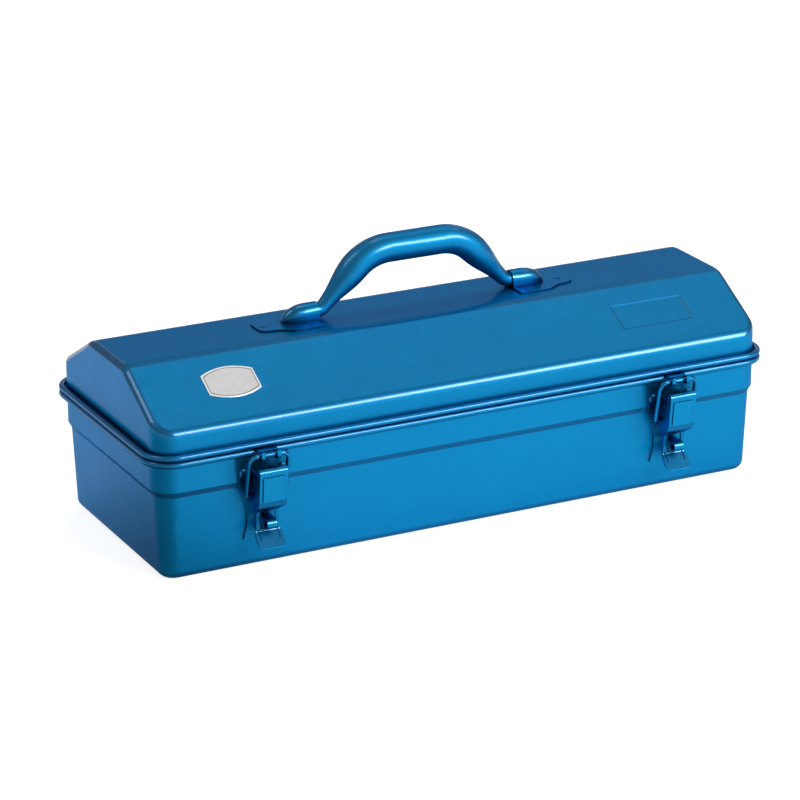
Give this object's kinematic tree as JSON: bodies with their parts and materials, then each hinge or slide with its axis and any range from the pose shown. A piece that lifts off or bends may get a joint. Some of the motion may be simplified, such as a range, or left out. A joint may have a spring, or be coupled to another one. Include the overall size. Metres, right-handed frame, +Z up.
{
  "type": "camber-top steel tool box",
  "caption": "Long painted steel tool box with a cambered hinged lid, a swinging tube handle in riveted saddles and draw latches with padlock eyes.",
  "frame": {"origin": "middle of the flat floor, on the plane the box stands on", "axes": "+X along the length to the right, -Y out of the front with the latches, +Z up"},
  "size_m": [0.4302, 0.1846, 0.1726],
  "materials": {
    "blue_paint": "semi-gloss metallic",
    "bare_steel": "satin"
  },
  "bodies": {
    "box": {"body_shell": "blue_paint", "latch_bracket_left": "blue_paint", "latch_bracket_right": "blue_paint", "latch_rivets": "blue_paint", "lever_pin_left": "blue_paint", "lever_pin_right": "blue_paint", "hinge_body_leaf_left": "blue_paint", "hinge_body_leaf_right": "blue_paint", "hinge_pin_left": "bare_steel", "hinge_pin_right": "bare_steel", "hinge_rivets": "blue_paint"},
    "lid": {"lid_shell": "blue_paint", "handle_saddle_left": "blue_paint", "handle_saddle_right": "blue_paint", "saddle_rivets": "blue_paint", "lid_hook_left": "blue_paint", "lid_hook_right": "blue_paint", "hinge_lid_leaf_left": "blue_paint", "hinge_lid_leaf_right": "blue_paint"},
    "handle": {"handle": "blue_paint"},
    "lever_left": {"latch_lever_left": "blue_paint", "lever_wire_left": "blue_paint"},
    "lever_right": {"latch_lever_right": "blue_paint", "lever_wire_right": "blue_paint"},
    "bail_left": {"latch_bail_left": "blue_paint"},
    "bail_right": {"latch_bail_right": "blue_paint"}
  },
  "joints": [
    {"name": "lid_hinge", "type": "hinge", "parent": "box", "child": "lid", "pos_m": [0, 0.086, 0.07915], "axis": [-1, 0, 0], "range_deg": [0, 105]},
    {"name": "handle_swing", "type": "hinge", "parent": "lid", "child": "handle", "pos_m": [0, 0, 0.1295], "axis": [1, 0, 0], "range_deg": [-80, 80]},
    {"name": "lever_left_turn", "type": "hinge", "parent": "box", "child": "lever_left", "pos_m": [-0.1422, -0.087, 0.0616], "axis": [-1, 0, 0], "range_deg": [0, 80]},
    {"name": "lever_right_turn", "type": "hinge", "parent": "box", "child": "lever_right", "pos_m": [0.1422, -0.087, 0.0616], "axis": [-1, 0, 0], "range_deg": [0, 80]},
    {"name": "bail_left_turn", "type": "hinge", "parent": "lever_left", "child": "bail_left", "pos_m": [-0.1422, -0.083, 0.0501], "axis": [-1, 0, 0], "range_deg": [-48, 0]},
    {"name": "bail_right_turn", "type": "hinge", "parent": "lever_right", "child": "bail_right", "pos_m": [0.1422, -0.083, 0.0501], "axis": [-1, 0, 0], "range_deg": [-48, 0]}
  ],
  "couplings": [
    {"joint": "bail_left_turn", "follows": "lever_left_turn", "ratio": -0.6},
    {"joint": "bail_right_turn", "follows": "lever_right_turn", "ratio": -0.6}
  ]
}
